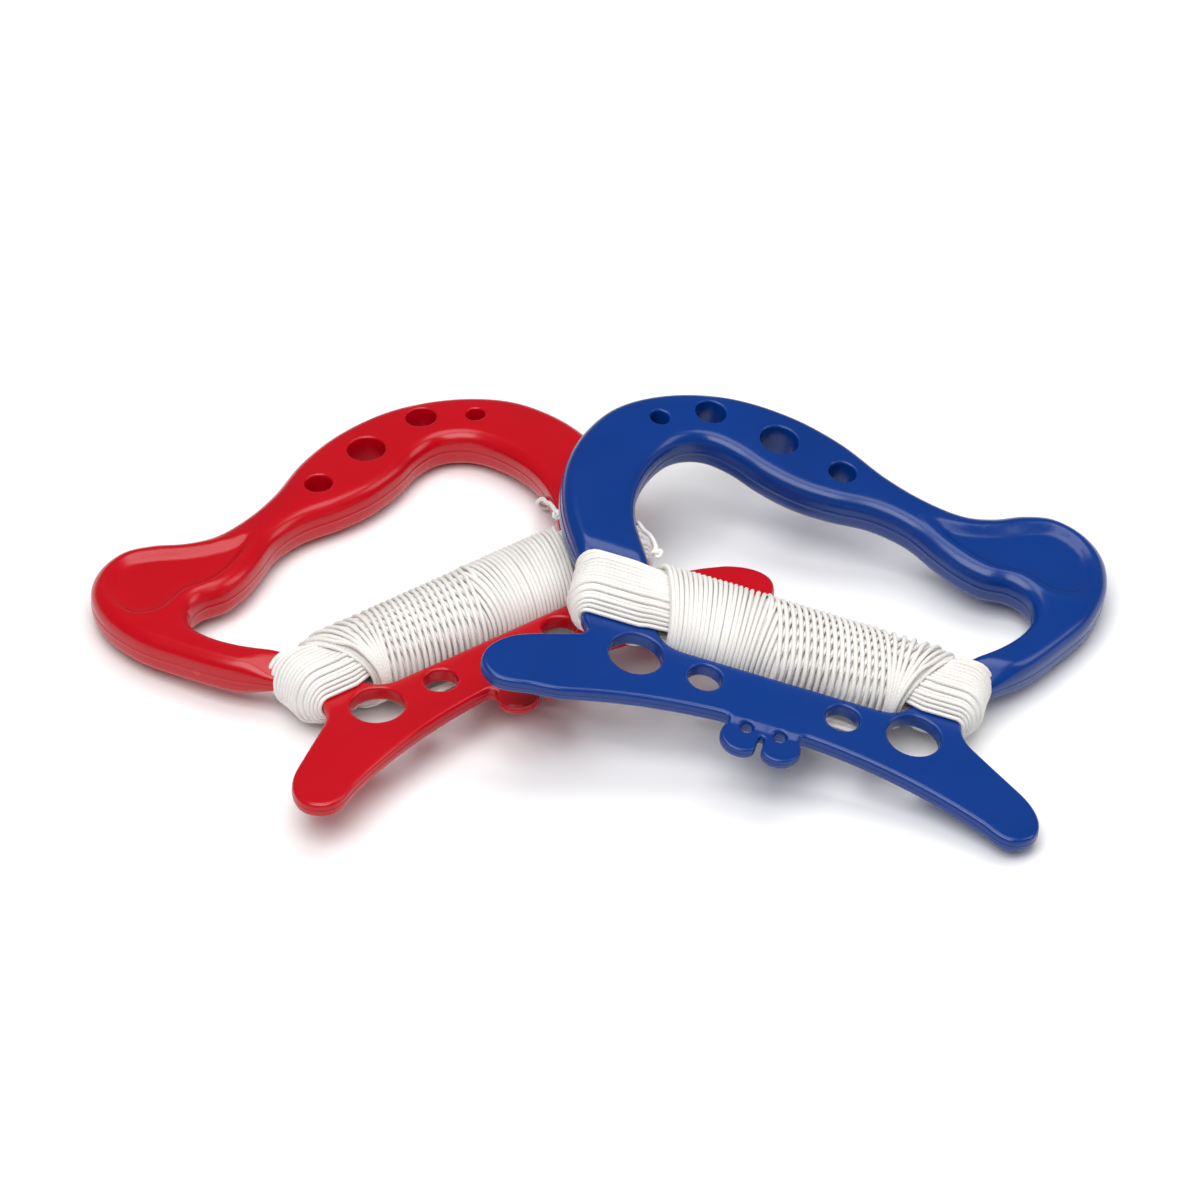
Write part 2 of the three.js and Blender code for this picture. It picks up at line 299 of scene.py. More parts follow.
def core_run(place, side, forward):
    """One lengthwise pass of the line, above (side 1) or below (side -1) the legs."""
    y, z = place
    xs = np.concatenate([
        np.linspace(left_end(y), BOUND_FROM, END_POINTS, endpoint=False),
        np.linspace(BOUND_FROM, BOUND_TO, MIDDLE_POINTS, endpoint=False),
        np.linspace(BOUND_TO, right_end(y), END_POINTS),
    ])
    s = squeeze(xs, y)
    free = np.clip((1 - s) / (1 - TWO_WRAPS), 0, 1)
    ys = CORE_CENTRE + s * (y - CORE_CENTRE + SQUEEZE_SHIFT * free)
    zs = s * z
    over_waist = (xs < CLEAR_OF_LEGS[0]) | (xs > CLEAR_OF_LEGS[1])
    zs = np.where(over_waist, np.maximum(zs, CORE_FIRST_ROW), zs)
    run = np.stack([xs, ys, side * zs], axis=1)
    return run if forward else run[::-1]


def core_end(place, after, at_right):
    """The half turn round a leg's waist, from one place to the next."""
    rows = []
    for t in np.linspace(0, 1, HALF_TURN_POINTS)[1:-1]:
        y = place[0] + (after[0] - place[0]) * smoothstep(0, 1, t)
        z = place[1] + (after[1] - place[1]) * smoothstep(0, 1, t)
        angle = math.pi * t
        if at_right:
            rows.append((right_end(y) + END_FLATTEN * z * math.sin(angle), y, z * math.cos(angle)))
        else:
            rows.append((left_end(y) - END_FLATTEN * z * math.sin(angle), y, -z * math.cos(angle)))
    return np.array(rows)


def core(rng):
    """Every lengthwise turn round the two legs, from the innermost out, ending above the right leg."""
    across, up = CORE_JITTER
    places = [(y + rng.uniform(-across, across), z + rng.uniform(-up, up)) for y, z in core_places()]
    parts = []
    for k, place in enumerate(places):
        parts.append(core_run(place, 1, True))
        if k + 1 == len(places):
            break
        parts.append(core_end(place, place, True))
        parts.append(core_run(place, -1, False))
        parts.append(core_end(place, places[k + 1], False))
    return np.vstack([*parts[:-1], parts[-1][:-END_POINTS]])


def wraps(layer, start_angle, rng):
    """A layer of turns bound crossways round the lengthwise ones, and the angle where it ends."""
    x_from, x_to = layer["x"]
    pitch_x, pitch = zip(*layer["pitch"])
    lean_x, lean = zip(*layer["lean"])
    direction = 1 if x_to > x_from else -1
    middles = [x_from]
    while direction * (x_to - middles[-1]) > 0:
        middles.append(middles[-1] + direction * np.interp(middles[-1], pitch_x, pitch) / WRAP_POINTS)
    middle = np.array(middles)
    count = len(middle)
    angle = start_angle + np.arange(count) / WRAP_POINTS * 2 * math.pi
    knots = np.array([rng.uniform(-1, 1) for _ in range(2 * count // WRAP_POINTS + 3)])
    drift = np.interp(np.linspace(0, len(knots) - 1, count), np.arange(len(knots)), knots)
    s = squeeze(np.clip(middle, BOUND_FROM, -BOUND_FROM), CORE_CENTRE)
    over = layer["over_core"] + WRAP_LIFT * np.roll(drift, WRAP_POINTS)
    x = middle + WRAP_DRIFT * drift + np.interp(middle, lean_x, lean) * np.cos(angle)
    y = CORE_CENTRE + (CORE_HALF[0] * s + over) * np.cos(angle)
    z = (CORE_HALF[1] * s + over) * np.sin(angle)
    return np.stack([x, y, z], axis=1), angle[-1]


def bridge(a, b, step=2.0, pull=0.5):
    """A smooth stretch from the end of a to the start of b, without its two end points."""
    start, end = a[-1], b[0]
    gap = np.linalg.norm(end - start)
    out = (a[-1] - a[-2]) / np.linalg.norm(a[-1] - a[-2]) * gap * pull
    back = (b[1] - b[0]) / np.linalg.norm(b[1] - b[0]) * gap * pull
    count = max(3, int(gap / step) + 2)
    return bezier(start, start + out, end - back, end, count=count)[1:-1]


def line_route():
    """The centreline of one whole flying line in the handle's own frame."""
    rng = random.Random(7)
    sections = [spline([LEAD_KNOT, *LEAD_ROUTE], ROUTE_STEP), core(rng)]
    angle = FIRST_WRAP_ANGLE
    for layer in WRAPS:
        turns, angle = wraps(layer, angle, rng)
        sections.append(turns)
        angle += BETWEEN_LAYERS
    sections.append(spline([END_KNOT, *END_ROUTE, END_OF_LOOP], ROUTE_STEP))
    route = [sections[0]]
    for before, after in zip(sections, sections[1:]):
        route.append(bridge(before, after))
        route.append(after)
    return np.vstack(route)


def tube(name, path, radius, sides, matrix):
    """A closed tube along a path, with a UV map in millimetres along it and turns round it."""
    path = np.asarray(path, float)
    tangents = np.gradient(path, axis=0)
    tangents /= np.linalg.norm(tangents, axis=1)[:, None]
    normal = np.cross(tangents[0], (0.3, 0.5, 0.8))
    normal /= np.linalg.norm(normal)
    vertices = []
    angles = np.arange(sides) / sides * 2 * math.pi
    for point, tangent in zip(path, tangents):
        normal = normal - tangent * normal.dot(tangent)
        normal /= np.linalg.norm(normal)
        side = np.cross(tangent, normal)
        ring = point + radius * (np.cos(angles)[:, None] * normal + np.sin(angles)[:, None] * side)
        vertices.extend(ring)
    faces = []
    for i in range(len(path) - 1):
        for j in range(sides):
            a = i * sides + j
            b = i * sides + (j + 1) % sides
            faces.append((a, b, b + sides, a + sides))
    last = (len(path) - 1) * sides
    faces.append(tuple(range(sides))[::-1])
    faces.append(tuple(last + j for j in range(sides)))
    obj = mesh_object(name, vertices, faces, matrix)
    along = np.concatenate([[0], np.cumsum(np.linalg.norm(np.diff(path, axis=0), axis=1))])
    add_tube_uv(obj, along, sides)
    return obj


def add_tube_uv(obj, along, sides):
    layer = obj.data.uv_layers.new(name="along")
    rings = len(along)
    for polygon in obj.data.polygons:
        corners = polygon.vertices
        places = [v % sides for v in corners]
        wraps_round = len(corners) == 4 and max(places) - min(places) > 1
        for loop, vertex in zip(polygon.loop_indices, corners):
            ring, j = divmod(vertex, sides)
            turn = (j + sides if wraps_round and j == 0 else j) / sides
            layer.data[loop].uv = (along[min(ring, rings - 1)], turn)


def knot_route(centre, size, heading):
    """A tight overhand knot's centreline round a centre, as a closed trefoil turned to a heading."""
    t = np.linspace(0, 2 * math.pi, KNOT_POINTS, endpoint=False)
    x = np.sin(t) + 2 * np.sin(2 * t)
    y = np.cos(t) - 2 * np.cos(2 * t)
    curve = np.stack([x, y, -1.5 * np.sin(3 * t)], axis=1)
    turned = np.array(Vector(heading).to_track_quat("X", "Z").to_matrix())
    return np.array(centre) + size * curve @ turned.T


def knot(name, centre, heading, matrix):
    """A tight overhand knot of the line, as one closed loop of tube."""
    route = knot_route(centre, KNOT_SIZE, heading)
    closed = np.vstack([route, route[:1]])
    return tube(name, closed, KNOT_TUBE * LINE_DIAMETER, LINE_SIDES, matrix)


def line_material():
    """White braided polyester: a fine diamond braid along the line, with painted shade in its grooves,
    slightly fuzzy and not quite even.
    """
    material = bpy.data.materials.new("flying_line")
    material.use_nodes = True
    nodes = material.node_tree.nodes
    links = material.node_tree.links
    shader = nodes["Principled BSDF"]
    shader.inputs["Roughness"].default_value = 0.62
    shader.inputs["Sheen Weight"].default_value = 0.25
    shader.inputs["Sheen Roughness"].default_value = 0.4
    shader.inputs["Subsurface Weight"].default_value = 0.12
    shader.inputs["Subsurface Radius"].default_value = (0.001, 0.001, 0.001)
    uv = nodes.new("ShaderNodeUVMap")
    uv.uv_map = "along"
    split = nodes.new("ShaderNodeSeparateXYZ")
    links.new(uv.outputs["UV"], split.inputs["Vector"])

    def math_node(kind, a, b=None):
        node = nodes.new("ShaderNodeMath")
        node.operation = kind
        for socket, value in zip(node.inputs, (a, b)):
            if value is None:
                continue
            if isinstance(value, (int, float)):
                socket.default_value = value
            else:
                links.new(value, socket)
        return node.outputs[0]

    along = math_node("MULTIPLY", split.outputs["X"], 2 * math.pi / BRAID_LENGTH)
    around = math_node("MULTIPLY", split.outputs["Y"], 2 * math.pi * BRAID_STRANDS)
    one = math_node("SINE", math_node("ADD", along, around))
    other = math_node("SINE", math_node("SUBTRACT", along, around))
    braid = math_node("MAXIMUM", one, other)

    coordinates = nodes.new("ShaderNodeTexCoord")
    fuzz = nodes.new("ShaderNodeTexNoise")
    fuzz.inputs["Scale"].default_value = 2600
    fuzz.inputs["Detail"].default_value = 3
    links.new(coordinates.outputs["Object"], fuzz.inputs["Vector"])
    height = math_node("ADD", math_node("MULTIPLY", braid, BRAID_RELIEF), fuzz.outputs["Fac"])
    bump = nodes.new("ShaderNodeBump")
    bump.inputs["Strength"].default_value = 0.5
    bump.inputs["Distance"].default_value = 0.00012
    links.new(height, bump.inputs["Height"])
    links.new(bump.outputs["Normal"], shader.inputs["Normal"])

    patches = nodes.new("ShaderNodeTexNoise")
    patches.inputs["Scale"].default_value = 60
    patches.inputs["Detail"].default_value = 4
    links.new(coordinates.outputs["Object"], patches.inputs["Vector"])
    tint = nodes.new("ShaderNodeValToRGB")
    tint.color_ramp.elements[0].position = 0.3
    tint.color_ramp.elements[0].color = (0.80, 0.775, 0.74, 1)
    tint.color_ramp.elements[1].position = 0.62
    tint.color_ramp.elements[1].color = (0.90, 0.885, 0.86, 1)
    links.new(patches.outputs["Fac"], tint.inputs["Fac"])
    # Painted shade: the line's colour is darkened where the braid's grooves lie.
    shade = nodes.new("ShaderNodeMixRGB")
    shade.blend_type = "MULTIPLY"
    shade.inputs["Color2"].default_value = (0.90, 0.88, 0.85, 1)
    groove = math_node("MULTIPLY_ADD", braid, GROOVE_SHADE)
    links.new(groove, shade.inputs["Fac"])
    links.new(tint.outputs["Color"], shade.inputs["Color1"])
    links.new(shade.outputs["Color"], shader.inputs["Base Color"])
    return material


LINE_MATERIAL = line_material()


def flying_line(name, body, matrix, route):
    """One handle's whole flying line and its two knots."""
    line = tube(f"{name}_flying_line", route, LINE_DIAMETER / 2, LINE_SIDES, matrix)
    anchor = knot(f"{name}_hitch_knot", LEAD_KNOT, HITCH_HEADING, matrix)
    end = knot(f"{name}_loop_knot", END_KNOT, LOOP_KNOT_HEADING, matrix)
    for piece in (line, anchor, end):
        piece.data.materials.append(LINE_MATERIAL)
        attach(piece, body)
    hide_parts(f"{name}_line_winding", f"{name}_anchor_lead", f"{name}_end_loop")
    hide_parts(f"{name}_anchor_knot")
    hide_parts(f"{name}_end_knot")


ROUTE = line_route()
flying_line("blue", "blue", blue_matrix(), ROUTE)
flying_line("red", "red", red_matrix(), ROUTE)

# ---------------------------------------------------------------- moulding

PLATE_HALF = 2.1
CLIP_HALF = 1.45
CLIP_TO_PLATE = (-36.4, -34.2)  # Y over which the clip thickens to the plate
CLIP_TOP = -34.5
CLIP_EDGE = 0.6  # radius that rounds the clip's edges, the plate's, and how much larger the loop's is
PLATE_EDGE = 1.1
LOOP_EDGE_MORE = 2.3
CLIP_REACH = 12  # half width of the part of the plate that thins to the clip
EDGE_STEP = 0.7
HOLE_STEP = 0.55
GRID_STEP = 1.25
EDGE_CLEARANCE = 1.5  # between an edge and the nearest point of the grid
RING_CLEARANCE = 0.55 * GRID_STEP
INSETS = (0.12, 0.35, 0.7, 1.15, 1.7, 2.4, 3.2, 4.2)
SMALL_OUTLINE = 60  # an outline of fewer points has no rings further in than the next value
SMALL_OUTLINE_INSET = 1.3

CROWN = 0.45  # how far the hand loop's face falls towards its edges, and over what distance
CROWN_FADE = 4.5
HOLE_RIM = 0.75  # radius that rounds a hole's edge
DISH_EASE = 3.4
BEAD = 0.28  # height and width of the raised bead round the dish
BEAD_WIDTH = 0.9
BEAD_OUT = 0.5
PARTING_BEAD = 0.1  # how far the parting line stands proud
# Rows of an edge's wall: its share of the face's height, and how far it stands proud.
WALL_ROWS = ((0.5, 0), (0.07, 0), (0, PARTING_BEAD), (-0.07, 0), (-0.5, 0))

# The hand loop's outer edge from the wide leg's waist, round the grip and lobe, to the narrow leg's waist.
LOOP_OUTER = [
    (-52.5, -6), (-53.6, -0.5), (-57.4, 4.6), (-62, 12), (-66.6, 23), (-68.8, 36), (-67.4, 49), (-61.5, 62.5),
    (-50, 72.6), (-34, 78.6), (-17, 78.4), (-2, 73.8), (12, 66), (23, 61.9), (33.5, 60.4), (41, 62.6),
    (48, 66.8), (56, 69.2), (65, 66.6), (71.6, 60), (74.6, 49.5), (73, 36), (68, 24.6), (61, 12),
    (54, 3.6), (49, -1.4), (47, -6),
]

# The opening's edge from the narrow leg's waist back round the finger grooves to the wide leg's waist.
LOOP_INNER = [
    (35, -8), (35.8, -3.6), (38, 0.6), (41.2, 4.4), (45.4, 9.4), (52.4, 17.4), (56.8, 25), (58.2, 31.6),
    (55.6, 37.6), (50, 40), (43.5, 39.2), (36.5, 41), (29.5, 44.6), (21, 49.8), (11, 52), (0, 51),
    (-10, 51.4),
    (-20, 54.2), (-28.5, 58), (-36, 59), (-42.6, 55.2), (-47.2, 46), (-48.8, 34), (-46.8, 23), (-42.3, 13.6),
    (-39.2, 7), (-36.2, 1.4), (-34.4, -3.6), (-34, -8),
]

GRIP_HOLES = [(-49.4, 61.8, 2.5), (-37.2, 69.4, 4), (-18, 66.4, 5), (0.2, 61.4, 3.6)]
PLATE_HOLES = [(-36.8, -22.6, 7), (-18.2, -23.8, 4.4), (18.2, -23.8, 4.4), (36.8, -22.6, 7)]
CLIP_HOLES = [(-4.4, -36.4, 1.6), (4.4, -36.4, 1.6)]

DISH = [
    (24, 55), (33, 55.4), (42, 58.4), (50, 63), (57, 65.4), (64, 63), (69, 57), (70.6, 49), (68.6, 43),
    (62, 40.6), (52, 43.6), (44, 43), (36, 45.6), (29, 49.6),
]
DISH_DEPTH = 1.5

ARCH_RADIUS = 148
ARCH_TOP = -33.8
ARCH_END = 60
PLATE_TOP = -16.8
EAR = {"x": 4.9, "y": -39.6, "radius": 5.6}
SLIT_HALF = 0.85
WAIST_SHIFT = 5.5
HORN_RAISE = 4.0


def arch_y(x):
    return ARCH_TOP - ARCH_RADIUS + math.sqrt(ARCH_RADIUS ** 2 - x ** 2)


def arc(centre, radius, start, end, count):
    a = np.radians(np.linspace(start, end, count))
    return np.stack([centre[0] + radius * np.cos(a), centre[1] + radius * np.sin(a)], axis=1)


def right_half_below():
    """The outer edge from the narrow leg's waist, round the right horn, along the arch to the clip's slit."""
    ear = (EAR["x"], EAR["y"])
    slit_angle = -180 + math.degrees(math.acos((EAR["x"] - SLIT_HALF) / EAR["radius"]))
    slit_top = EAR["y"] + 1.1
    arch = [(x, arch_y(x)) for x in np.linspace(ARCH_END, EAR["x"] + 5.2, 60)]
    return [
        bezier((47, -6), (47, -12), (47.6, -17.6), (52, -20.8)),
        np.array([(56.8, -24.3), (62, -28)]),
        bezier((67, -31.6), (74.8, -37.2), (76.6, -46.2), (68.6, -49.4)),
        bezier((68.6, -49.4), (65.6, -50.2), (ARCH_END, arch_y(ARCH_END)), count=8),
        np.array(arch[1:]),
        arc(ear, EAR["radius"], 46, slit_angle, 30),
        np.array([(SLIT_HALF, -41), (SLIT_HALF, slit_top)]),
        arc((0, slit_top), SLIT_HALF, 20, 90, 4),
    ]


def outer_outline():
    right = np.vstack(right_half_below())
    left = right[::-1] * (-1, 1)
    # The left waist stands further out than the right one.
    left[:, 0] -= WAIST_SHIFT * smoothstep(-20, -13, left[:, 1]) * (left[:, 0] < -40)
    # The horn on the wide leg's side droops less.
    left[:, 1] += HORN_RAISE * smoothstep(50, 68, -left[:, 0]) * smoothstep(18, 22, -left[:, 1])
    whole = np.vstack([spline(LOOP_OUTER, 1.0), right[1:], left[1:-1]])
    return softened(resampled(whole, EDGE_STEP), 2)


def opening_outline():
    edge = spline(LOOP_INNER, 1.0)
    left_corner = bezier((-34, -8), (-34, -13), (-31, PLATE_TOP), (-25, PLATE_TOP), count=16)
    right_corner = bezier((26, PLATE_TOP), (32, PLATE_TOP), (35, -13), (35, -8), count=16)
    whole = np.vstack([edge, left_corner[1:], right_corner[:-1]])
    return softened(resampled(whole, EDGE_STEP), 2)


def hole_outline(x, y, radius):
    count = max(16, int(2 * math.pi * radius / HOLE_STEP))
    return arc((x, y), radius, 0, 360, count + 1)[:-1]


def outward_normals(outline, solid_inside):
    """Unit normals that point out of the plastic at each point of a closed outline."""
    along = np.roll(outline, -1, axis=0) - np.roll(outline, 1, axis=0)
    along /= np.linalg.norm(along, axis=1)[:, None]
    normals = np.stack([along[:, 1], -along[:, 0]], axis=1)
    return normals if is_anticlockwise(outline) == solid_inside else -normals


class Distance:
    """Distance from points to the nearest of several closed outlines."""

    def __init__(self, outlines):
        self.a = np.vstack(outlines)
        self.b = np.vstack([np.roll(o, -1, axis=0) for o in outlines])
        starts = np.cumsum([0] + [len(o) for o in outlines])
        spans = zip(starts, starts[1:])
        self.before = np.concatenate([np.roll(np.arange(low, high), 1) for low, high in spans])
        self.tree = kdtree.KDTree(len(self.a))
        for i, (x, y) in enumerate(self.a):
            self.tree.insert((x, y, 0), i)
        self.tree.balance()

    def at(self, points):
        points = np.asarray(points, float)
        near = np.array([self.tree.find((x, y, 0))[1] for x, y in points])
        return np.minimum(self._to_segment(points, near), self._to_segment(points, self.before[near]))

    def _to_segment(self, points, index):
        a, b = self.a[index], self.b[index]
        ab = b - a
        t = np.clip(np.sum((points - a) * ab, axis=1) / np.sum(ab * ab, axis=1), 0, 1)
        return np.linalg.norm(points - a - t[:, None] * ab, axis=1)


def inside(points, outline):
    """Whether each point is inside a closed outline."""
    result = np.zeros(len(points), bool)
    x, y = points[:, 0], points[:, 1]
    for (x1, y1), (x2, y2) in zip(outline, np.roll(outline, -1, axis=0)):
        crosses = (y1 > y) != (y2 > y)
        if crosses.any():
            at = x1 + (y - y1) / (y2 - y1 + 1e-12) * (x2 - x1)
            result ^= crosses & (x < at)
    return result


def half_thickness(points):
    """Half thickness of the plastic before its edges are rounded."""
    x, y = points[:, 0], points[:, 1]
    loop = leg_half(y)
    clip = (1 - smoothstep(*CLIP_TO_PLATE, y)) * (np.abs(x) < CLIP_REACH)
    plate = PLATE_HALF - (PLATE_HALF - CLIP_HALF) * clip
    return np.where(y > WAIST_TO_LOOP[0], loop, plate)


def edge_radius(points):
    """Radius that rounds the plastic's edges."""
    x, y = points[:, 0], points[:, 1]
    loop = PLATE_EDGE + LOOP_EDGE_MORE * smoothstep(*WAIST_TO_LOOP, y)
    return np.where((np.abs(x) < CLIP_REACH) & (y < CLIP_TOP), CLIP_EDGE, loop)


def face_height(points, distance, hole_distance, dish):
    """Height of the upper face over the middle of the plastic."""
    t = half_thickness(points)
    r = edge_radius(points)
    d = np.minimum(distance, r)
    rounded = t - r + np.sqrt(np.maximum(r ** 2 - (r - d) ** 2, 0))
    thick = smoothstep(2.4, 5.4, t)
    crown = CROWN * thick * np.exp(-distance / CROWN_FADE)
    dh = np.minimum(hole_distance, HOLE_RIM)
    lip = HOLE_RIM - np.sqrt(np.maximum(HOLE_RIM ** 2 - (HOLE_RIM - dh) ** 2, 0))
    within = np.where(inside(points, dish.a), 1, -1) * dish.at(points)
    bowl = DISH_DEPTH * smoothstep(0, DISH_EASE, within)
    bead = BEAD * np.exp(-((within + BEAD_OUT) / BEAD_WIDTH) ** 2)
    return np.minimum(rounded - crown, t - lip) - bowl + bead


def is_anticlockwise(outline):
    x, y = outline[:, 0], outline[:, 1]
    return np.sum(x * np.roll(y, -1) - np.roll(x, -1) * y) > 0


def inset_rings(outlines, normals, to_any):
    """Points set in from every edge, close together where the edge is rounded."""
    points = []
    for inset in INSETS:
        for outline, normal in zip(outlines, normals):
            if inset > SMALL_OUTLINE_INSET and len(outline) < SMALL_OUTLINE:
                continue
            ring = outline - inset * normal
            points.append(ring[to_any.at(ring) > 0.97 * inset])
    return np.vstack(points)


def grid_points(outer, opening, holes, to_any, rings):
    """Points on a staggered grid over the plastic, clear of its edges and of the rings."""
    low, high = outer.min(axis=0), outer.max(axis=0)
    gx, gy = np.meshgrid(np.arange(low[0], high[0], GRID_STEP), np.arange(low[1], high[1], GRID_STEP))
    gx[1::2] += GRID_STEP / 2
    grid = np.stack([gx.ravel(), gy.ravel()], axis=1)
    grid = grid[inside(grid, outer) & ~inside(grid, opening)]
    grid = grid[to_any.at(grid) > EDGE_CLEARANCE]
    for hole in holes:
        grid = grid[~inside(grid, hole)]
    near_rings = kdtree.KDTree(len(rings))
    for i, p in enumerate(rings):
        near_rings.insert((*p, 0), i)
    near_rings.balance()
    clear = np.array([near_rings.find((*p, 0))[2] > RING_CLEARANCE for p in grid])
    return grid[clear]


def triangulated(points, outlines):
    """The plan's points and triangles, and where each given point is among them."""
    constraints = []
    owner = np.full(len(points), -1)
    start = 0
    for k, outline in enumerate(outlines):
        count = len(outline)
        constraints += [(start + i, start + (i + 1) % count) for i in range(count)]
        owner[start:start + count] = k
        start += count
    result = delaunay_2d_cdt([Vector(p) for p in points], constraints, [], 1, 1e-5)
    vertices, triangles, source = result[0], result[2], result[3]
    plan = np.array([tuple(v) for v in vertices])
    owners = np.array([owner[ids[0]] if ids else -1 for ids in source])
    place = {ids[0]: i for i, ids in enumerate(source) if ids}
    kept = []
    for triangle in triangles:
        who = owners[list(triangle)]
        fills_an_opening = who[0] > 0 and (who == who[0]).all()
        if not fills_an_opening:
            kept.append(tuple(triangle))
    return plan, kept, place


def add_wall(vertices, faces, upper_loop, normal, plan, height, proud_line, forward):
    """The wall between the two faces along one edge, with the parting line at its middle."""
    walls = [upper_loop]
    for share, proud in WALL_ROWS:
        row = []
        for v, n in zip(upper_loop, normal):
            x, y = plan[v] + (proud if proud_line else 0) * n
            row.append(len(vertices))
            vertices.append((x, y, share * height[v]))
        walls.append(row)
    walls.append([len(plan) + v for v in upper_loop])
    for upper, lower in zip(walls, walls[1:]):
        for i in range(len(upper_loop)):
            j = (i + 1) % len(upper_loop)
            face = (upper[i], lower[i], lower[j], upper[j])
            faces.append(face if forward else face[::-1])


def moulding_surface():
    """Vertices and faces of the whole moulding, in the handle's own frame."""
    outer = outer_outline()
    opening = opening_outline()
    holes = [hole_outline(*hole) for hole in GRIP_HOLES + PLATE_HOLES + CLIP_HOLES]
    outlines = [outer, opening] + holes
    to_any = Distance(outlines)
    normals = [outward_normals(o, o is outer) for o in outlines]
    rings = inset_rings(outlines, normals, to_any)
    grid = grid_points(outer, opening, holes, to_any, rings)
    plan, triangles, place = triangulated(np.vstack([*outlines, rings, grid]), outlines)

    dish = Distance([resampled(spline(DISH + DISH[:1], 0.8)[:-1], 0.5)])
    height = face_height(plan, Distance([outer, opening]).at(plan), Distance(holes).at(plan), dish)
    count = len(plan)
    vertices = [(x, y, z) for (x, y), z in zip(plan, height)]
    vertices += [(x, y, -z) for (x, y), z in zip(plan, height)]
    faces = []
    for a, b, c in triangles:
        (ax, ay), (bx, by), (cx, cy) = plan[a], plan[b], plan[c]
        up = (bx - ax) * (cy - ay) - (by - ay) * (cx - ax) > 0
        a, b, c = (a, b, c) if up else (a, c, b)
        faces.append((a, b, c))
        faces.append((count + a, count + c, count + b))

    start = 0
    for outline, normal in zip(outlines, normals):
        loop = [place[start + i] for i in range(len(outline))]
        start += len(outline)
        is_hole = outline is not outer and outline is not opening
        forward = is_anticlockwise(outline) == (outline is outer)
        add_wall(vertices, faces, loop, normal, plan, height, not is_hole, forward)
    return vertices, faces


def plastic_material(name, colour, deep, worn):
    """Glossy injection-moulded plastic: faint orange peel, flow marks, handling marks and rubbed edges."""
    material = bpy.data.materials.new(name)
    material.use_nodes = True
    nodes = material.node_tree.nodes
    links = material.node_tree.links
    shader = nodes["Principled BSDF"]
    shader.inputs["IOR"].default_value = 1.49
    shader.inputs["Specular IOR Level"].default_value = 0.42
    coordinates = nodes.new("ShaderNodeTexCoord")

    def noise(scale, detail):
        texture = nodes.new("ShaderNodeTexNoise")
        texture.inputs["Scale"].default_value = scale
        texture.inputs["Detail"].default_value = detail
        links.new(coordinates.outputs["Object"], texture.inputs["Vector"])
        return texture.outputs["Fac"]

    def ramp(value, low, high, low_colour, high_colour):
        node = nodes.new("ShaderNodeValToRGB")
        node.color_ramp.elements[0].position = low
        node.color_ramp.elements[0].color = low_colour
        node.color_ramp.elements[1].position = high
        node.color_ramp.elements[1].color = high_colour
        links.new(value, node.inputs["Fac"])
        return node.outputs["Color"]

    flow = ramp(noise(28, 3), 0.3, 0.7, (*deep, 1), (*colour, 1))
    geometry = nodes.new("ShaderNodeNewGeometry")
    rubbed = ramp(geometry.outputs["Pointiness"], 0.53, 0.6, (0, 0, 0, 1), (1, 1, 1, 1))
    patchy = nodes.new("ShaderNodeMath")
    patchy.operation = "MULTIPLY"
    links.new(rubbed, patchy.inputs[0])
    links.new(noise(90, 5), patchy.inputs[1])
    wear = nodes.new("ShaderNodeMixRGB")
    wear.inputs["Color2"].default_value = (*worn, 1)
    links.new(patchy.outputs[0], wear.inputs["Fac"])
    links.new(flow, wear.inputs["Color1"])
    links.new(wear.outputs["Color"], shader.inputs["Base Color"])

    handling = ramp(noise(75, 5), 0.35, 0.72, (0.21, 0.21, 0.21, 1), (0.27, 0.27, 0.27, 1))
    links.new(handling, shader.inputs["Roughness"])
    peel = nodes.new("ShaderNodeBump")
    peel.inputs["Strength"].default_value = 0.12
    peel.inputs["Distance"].default_value = 0.00008
    links.new(noise(900, 2), peel.inputs["Height"])
    ripple = nodes.new("ShaderNodeBump")
    ripple.inputs["Strength"].default_value = 0.1
    ripple.inputs["Distance"].default_value = 0.0004
    links.new(noise(110, 1), ripple.inputs["Height"])
    links.new(peel.outputs["Normal"], ripple.inputs["Normal"])
    links.new(ripple.outputs["Normal"], shader.inputs["Normal"])
    return material


def moulding(name, body, matrix, surface, material):
    vertices, faces = surface
    obj = mesh_object(f"{name}_moulding", vertices, faces, matrix)
    obj.data.materials.append(material)
    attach(obj, body)
    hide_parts(f"{name}_handle")


PLASTICS = {
    "blue": {"colour": (0.0, 0.034, 0.215), "deep": (0.0, 0.028, 0.185), "worn": (0.02, 0.08, 0.33)},
    "red": {"colour": (0.50, 0.0, 0.008), "deep": (0.44, 0.0, 0.006), "worn": (0.62, 0.03, 0.035)},
}

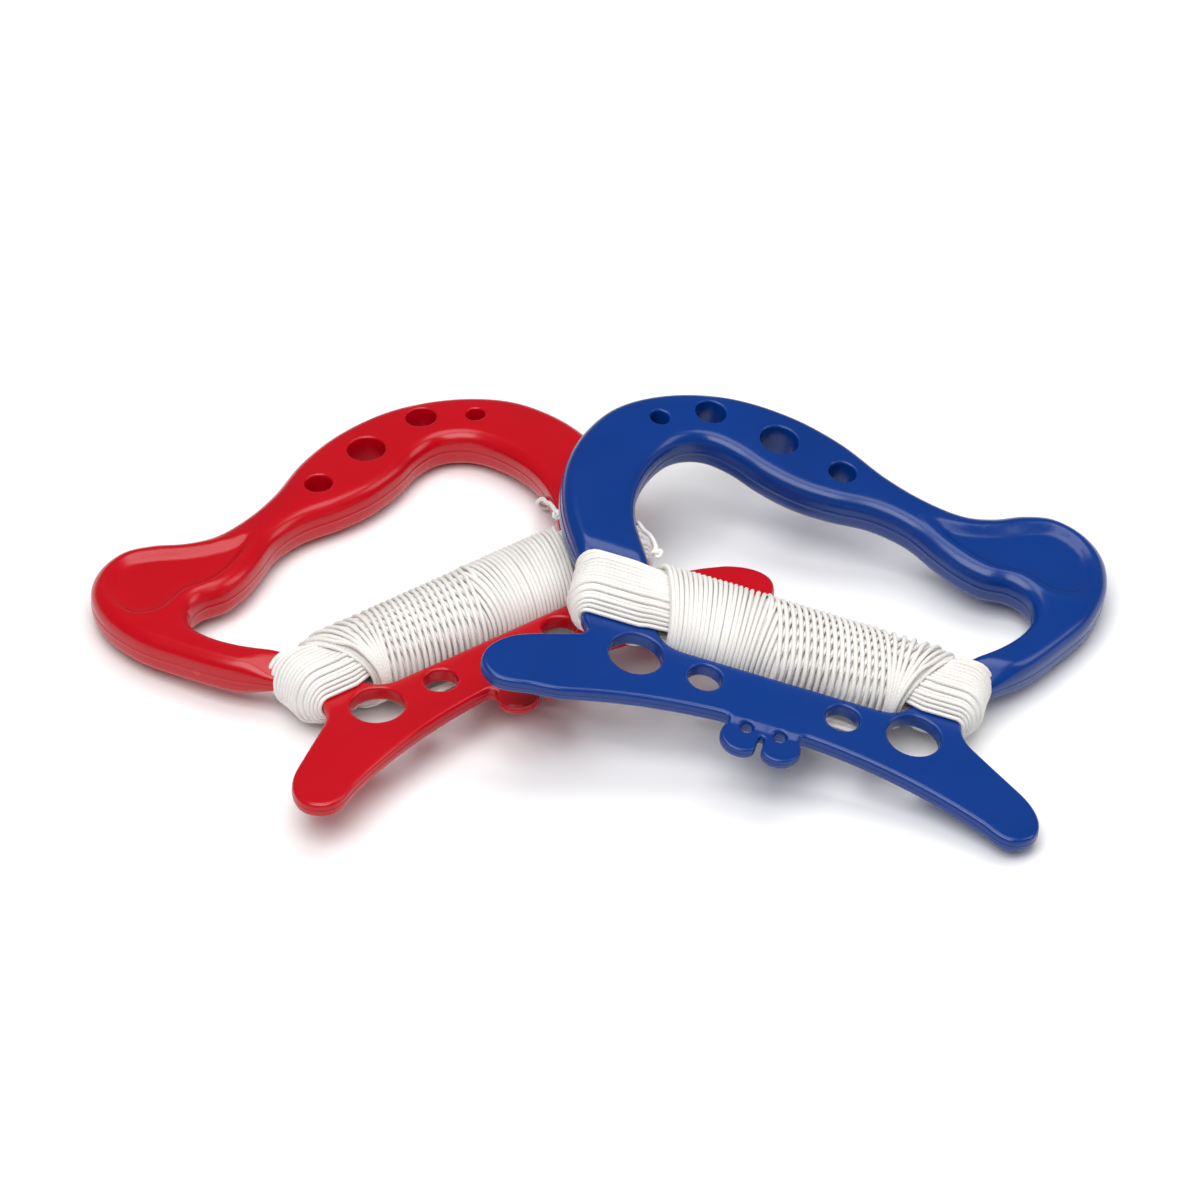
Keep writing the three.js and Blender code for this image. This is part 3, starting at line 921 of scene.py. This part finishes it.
SURFACE = moulding_surface()
for NAME, MATRIX in (("blue", blue_matrix()), ("red", red_matrix())):
    moulding(NAME, NAME, MATRIX, SURFACE, plastic_material(f"{NAME}_plastic", **PLASTICS[NAME]))

# ---------------------------------------------------------------- floor and light


FLOOR_HALF = 4.0
FLOOR_Z = -0.0002  # just below the lowest turn of the line
WORLD_STRENGTH = 0.17
LIGHTS = {
    "key": {"place": (-0.25, -0.75, 1.55), "size": (1.5, 1.1), "power": 27},
    "overhead": {"place": (0.1, 0.35, 1.7), "size": (1.4, 0.9), "power": 13},
    "side": {"place": (1.3, 0.1, 0.9), "size": (0.5, 0.9), "power": 4},
}


def make_floor():
    mesh = bpy.data.meshes.new("floor")
    corners = [(-1, -1), (1, -1), (1, 1), (-1, 1)]
    mesh.from_pydata([(FLOOR_HALF * x, FLOOR_HALF * y, FLOOR_Z) for x, y in corners], [], [(0, 1, 2, 3)])
    floor = bpy.data.objects.new("floor", mesh)
    bpy.context.collection.objects.link(floor)
    material = bpy.data.materials.new("floor")
    material.use_nodes = True
    shader = material.node_tree.nodes["Principled BSDF"]
    shader.inputs["Base Color"].default_value = (0.93, 0.93, 0.93, 1)
    shader.inputs["Roughness"].default_value = 0.75
    mesh.materials.append(material)


def area_light(name, place, size, power):
    light = bpy.data.lights.new(name, "AREA")
    light.shape = "RECTANGLE"
    light.size = size[0]
    light.size_y = size[1]
    light.energy = power
    obj = bpy.data.objects.new(name, light)
    bpy.context.collection.objects.link(obj)
    obj.location = place
    obj.rotation_euler = (-Vector(place)).to_track_quat("-Z", "Y").to_euler()


def make_light():
    # The default view transform washes the plastics' deep colours out.
    bpy.context.scene.view_settings.view_transform = "Standard"
    world = bpy.data.worlds.new("studio")
    world.use_nodes = True
    world.node_tree.nodes["Background"].inputs["Color"].default_value = (1, 1, 1, 1)
    world.node_tree.nodes["Background"].inputs["Strength"].default_value = WORLD_STRENGTH
    bpy.context.scene.world = world
    for name, light in LIGHTS.items():
        area_light(name, **light)


make_floor()
make_light()
